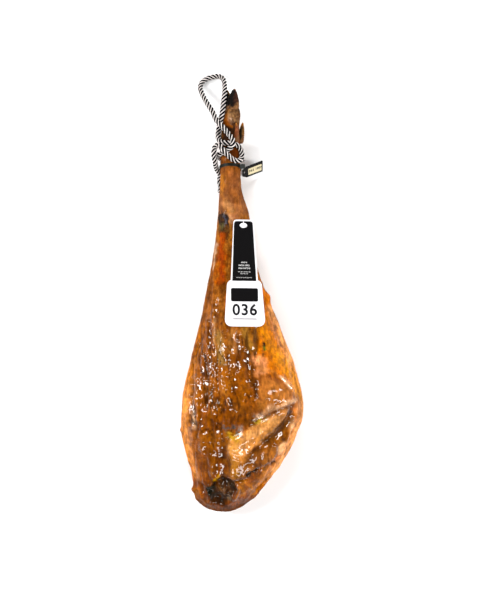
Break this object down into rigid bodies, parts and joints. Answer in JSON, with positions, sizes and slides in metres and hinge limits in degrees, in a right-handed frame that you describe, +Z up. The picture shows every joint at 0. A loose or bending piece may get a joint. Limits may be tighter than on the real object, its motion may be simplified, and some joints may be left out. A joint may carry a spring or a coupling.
{
  "type": "cured ham",
  "caption": "Whole cured ham on the bone with its trotter, lying meat side up, with a striped hanging cord, a plastic seal and a card tag.",
  "frame": {"origin": "On the table, under the middle of the leg without its cord.", "axes": "+Y along the leg towards the trotter, +Z up out of the meat side, +X to the right seen from above with the trotter away."},
  "size_m": [0.2442, 0.886, 0.1343],
  "materials": {
    "cured_leg": "oily cured rind, fat and meat in orange, brown and blue-grey",
    "cord": "twisted black and white yarn",
    "band_plastic": "moulded dark green-black plastic",
    "seal_plastic": "moulded black plastic",
    "seal_paper": "cream printed label",
    "card": "white coated card with a black panel"
  },
  "bodies": {
    "root": {"ham": "cured_leg", "hanging_cord": "cord", "ankle_band": "band_plastic", "band_lock": "band_plastic", "seal_plate": "seal_plastic", "seal_label": "seal_paper", "card_tag": "card"}
  },
  "joints": []
}
